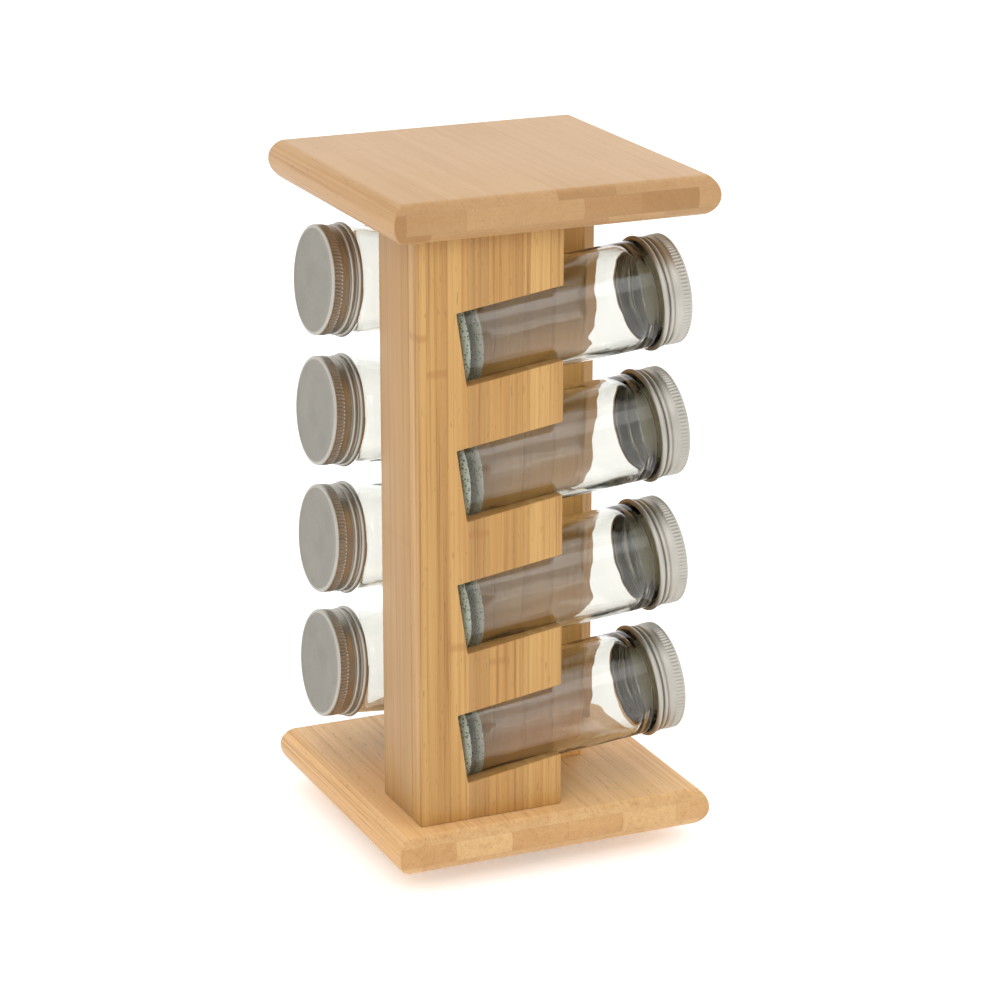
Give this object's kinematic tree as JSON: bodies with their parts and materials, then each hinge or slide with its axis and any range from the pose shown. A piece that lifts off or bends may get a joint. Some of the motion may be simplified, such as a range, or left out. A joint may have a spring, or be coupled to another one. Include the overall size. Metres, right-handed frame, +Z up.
{
  "type": "spice carousel",
  "caption": "Turning spice carousel: an upright bamboo column between two square boards, with tilted notches on opposite sides that hold clear glass jars with screw lids.",
  "frame": {"origin": "on the table, under the turning axis, at the middle of the square boards", "axes": "+Z up along the turning axis; +X is the way the lids of the front jars point; -Y is the front"},
  "size_m": [0.13, 0.13, 0.266],
  "materials": {
    "bamboo_board": "satin lacquered bamboo, laminated",
    "bamboo_column": "satin lacquered bamboo, strips upright",
    "beech_dowel": "plain wood",
    "clear_glass": "clear, faint green in the thick base",
    "lid_steel": "satin tinplate",
    "liner_foam": "matt sealing disc",
    "zinc_steel": "zinc plated",
    "bright_steel": "polished balls",
    "cage_plastic": "moulded",
    "rubber": "matt"
  },
  "bodies": {
    "turntable_base": {"rubber_feet": "rubber", "lower_plate": "zinc_steel"},
    "ball_ring": {"ball_cage": "cage_plastic", "bearing_balls": "bright_steel"},
    "carousel": {"upper_plate": "zinc_steel", "centre_rivet": "zinc_steel", "turntable_screws": "zinc_steel", "base_board": "bamboo_board", "base_screws": "zinc_steel", "front_panel": "bamboo_column", "left_cheek": "bamboo_column", "back_panel": "bamboo_column", "right_cheek": "bamboo_column", "divider": "bamboo_column", "top_dowels": "beech_dowel", "top_board": "bamboo_board"},
    "front_jar_1_body": {"front_jar_1": "clear_glass"},
    "front_liner_1_body": {"front_liner_1": "liner_foam"},
    "front_lid_1_body": {"front_lid_1": "lid_steel"},
    "front_jar_2_body": {"front_jar_2": "clear_glass"},
    "front_liner_2_body": {"front_liner_2": "liner_foam"},
    "front_lid_2_body": {"front_lid_2": "lid_steel"},
    "front_jar_3_body": {"front_jar_3": "clear_glass"},
    "front_liner_3_body": {"front_liner_3": "liner_foam"},
    "front_lid_3_body": {"front_lid_3": "lid_steel"},
    "front_jar_4_body": {"front_jar_4": "clear_glass"},
    "front_liner_4_body": {"front_liner_4": "liner_foam"},
    "front_lid_4_body": {"front_lid_4": "lid_steel"},
    "rear_jar_1_body": {"rear_jar_1": "clear_glass"},
    "rear_liner_1_body": {"rear_liner_1": "liner_foam"},
    "rear_lid_1_body": {"rear_lid_1": "lid_steel"},
    "rear_jar_2_body": {"rear_jar_2": "clear_glass"},
    "rear_liner_2_body": {"rear_liner_2": "liner_foam"},
    "rear_lid_2_body": {"rear_lid_2": "lid_steel"},
    "rear_jar_3_body": {"rear_jar_3": "clear_glass"},
    "rear_liner_3_body": {"rear_liner_3": "liner_foam"},
    "rear_lid_3_body": {"rear_lid_3": "lid_steel"},
    "rear_jar_4_body": {"rear_jar_4": "clear_glass"},
    "rear_liner_4_body": {"rear_liner_4": "liner_foam"},
    "rear_lid_4_body": {"rear_lid_4": "lid_steel"}
  },
  "joints": [
    {"name": "carousel_spin", "type": "hinge", "parent": "turntable_base", "child": "carousel", "pos_m": [0, 0, 0.0051], "axis": [0, 0, 1], "continuous": true},
    {"name": "ball_ring_spin", "type": "hinge", "parent": "turntable_base", "child": "ball_ring", "pos_m": [0, 0, 0.0051], "axis": [0, 0, 1], "continuous": true},
    {"name": "front_jar_1_slide", "type": "slide", "parent": "carousel", "child": "front_jar_1_body", "axis": [0.9962, 0, 0.0872], "range_m": [0, 0.106]},
    {"name": "front_lid_1_rise", "type": "slide", "parent": "front_jar_1_body", "child": "front_liner_1_body", "axis": [0.9962, 0, 0.0872], "range_m": [0, 0.00525]},
    {"name": "front_lid_1_turn", "type": "hinge", "parent": "front_liner_1_body", "child": "front_lid_1_body", "pos_m": [0.05924, -0.033, 0.21673], "axis": [0.9962, 0, 0.0872], "range_deg": [0, 450.5]},
    {"name": "front_jar_2_slide", "type": "slide", "parent": "carousel", "child": "front_jar_2_body", "axis": [0.9962, 0, 0.0872], "range_m": [0, 0.106]},
    {"name": "front_lid_2_rise", "type": "slide", "parent": "front_jar_2_body", "child": "front_liner_2_body", "axis": [0.9962, 0, 0.0872], "range_m": [0, 0.00525]},
    {"name": "front_lid_2_turn", "type": "hinge", "parent": "front_liner_2_body", "child": "front_lid_2_body", "pos_m": [0.05924, -0.033, 0.16473], "axis": [0.9962, 0, 0.0872], "range_deg": [0, 450.5]},
    {"name": "front_jar_3_slide", "type": "slide", "parent": "carousel", "child": "front_jar_3_body", "axis": [0.9962, 0, 0.0872], "range_m": [0, 0.106]},
    {"name": "front_lid_3_rise", "type": "slide", "parent": "front_jar_3_body", "child": "front_liner_3_body", "axis": [0.9962, 0, 0.0872], "range_m": [0, 0.00525]},
    {"name": "front_lid_3_turn", "type": "hinge", "parent": "front_liner_3_body", "child": "front_lid_3_body", "pos_m": [0.05924, -0.033, 0.11273], "axis": [0.9962, 0, 0.0872], "range_deg": [0, 450.5]},
    {"name": "front_jar_4_slide", "type": "slide", "parent": "carousel", "child": "front_jar_4_body", "axis": [0.9962, 0, 0.0872], "range_m": [0, 0.106]},
    {"name": "front_lid_4_rise", "type": "slide", "parent": "front_jar_4_body", "child": "front_liner_4_body", "axis": [0.9962, 0, 0.0872], "range_m": [0, 0.00525]},
    {"name": "front_lid_4_turn", "type": "hinge", "parent": "front_liner_4_body", "child": "front_lid_4_body", "pos_m": [0.05924, -0.033, 0.06073], "axis": [0.9962, 0, 0.0872], "range_deg": [0, 450.5]},
    {"name": "rear_jar_1_slide", "type": "slide", "parent": "carousel", "child": "rear_jar_1_body", "axis": [-0.9962, 0, 0.0872], "range_m": [0, 0.106]},
    {"name": "rear_lid_1_rise", "type": "slide", "parent": "rear_jar_1_body", "child": "rear_liner_1_body", "axis": [-0.9962, 0, 0.0872], "range_m": [0, 0.00525]},
    {"name": "rear_lid_1_turn", "type": "hinge", "parent": "rear_liner_1_body", "child": "rear_lid_1_body", "pos_m": [-0.05924, 0.033, 0.21673], "axis": [-0.9962, 0, 0.0872], "range_deg": [0, 450.5]},
    {"name": "rear_jar_2_slide", "type": "slide", "parent": "carousel", "child": "rear_jar_2_body", "axis": [-0.9962, 0, 0.0872], "range_m": [0, 0.106]},
    {"name": "rear_lid_2_rise", "type": "slide", "parent": "rear_jar_2_body", "child": "rear_liner_2_body", "axis": [-0.9962, 0, 0.0872], "range_m": [0, 0.00525]},
    {"name": "rear_lid_2_turn", "type": "hinge", "parent": "rear_liner_2_body", "child": "rear_lid_2_body", "pos_m": [-0.05924, 0.033, 0.16473], "axis": [-0.9962, 0, 0.0872], "range_deg": [0, 450.5]},
    {"name": "rear_jar_3_slide", "type": "slide", "parent": "carousel", "child": "rear_jar_3_body", "axis": [-0.9962, 0, 0.0872], "range_m": [0, 0.106]},
    {"name": "rear_lid_3_rise", "type": "slide", "parent": "rear_jar_3_body", "child": "rear_liner_3_body", "axis": [-0.9962, 0, 0.0872], "range_m": [0, 0.00525]},
    {"name": "rear_lid_3_turn", "type": "hinge", "parent": "rear_liner_3_body", "child": "rear_lid_3_body", "pos_m": [-0.05924, 0.033, 0.11273], "axis": [-0.9962, 0, 0.0872], "range_deg": [0, 450.5]},
    {"name": "rear_jar_4_slide", "type": "slide", "parent": "carousel", "child": "rear_jar_4_body", "axis": [-0.9962, 0, 0.0872], "range_m": [0, 0.106]},
    {"name": "rear_lid_4_rise", "type": "slide", "parent": "rear_jar_4_body", "child": "rear_liner_4_body", "axis": [-0.9962, 0, 0.0872], "range_m": [0, 0.00525]},
    {"name": "rear_lid_4_turn", "type": "hinge", "parent": "rear_liner_4_body", "child": "rear_lid_4_body", "pos_m": [-0.05924, 0.033, 0.06073], "axis": [-0.9962, 0, 0.0872], "range_deg": [0, 450.5]}
  ],
  "couplings": [
    {"joint": "ball_ring_spin", "follows": "carousel_spin", "ratio": 0.5},
    {"joint": "front_lid_1_turn", "follows": "front_lid_1_rise", "rad_per_m": 1496},
    {"joint": "front_lid_2_turn", "follows": "front_lid_2_rise", "rad_per_m": 1496},
    {"joint": "front_lid_3_turn", "follows": "front_lid_3_rise", "rad_per_m": 1496},
    {"joint": "front_lid_4_turn", "follows": "front_lid_4_rise", "rad_per_m": 1496},
    {"joint": "rear_lid_1_turn", "follows": "rear_lid_1_rise", "rad_per_m": 1496},
    {"joint": "rear_lid_2_turn", "follows": "rear_lid_2_rise", "rad_per_m": 1496},
    {"joint": "rear_lid_3_turn", "follows": "rear_lid_3_rise", "rad_per_m": 1496},
    {"joint": "rear_lid_4_turn", "follows": "rear_lid_4_rise", "rad_per_m": 1496}
  ]
}
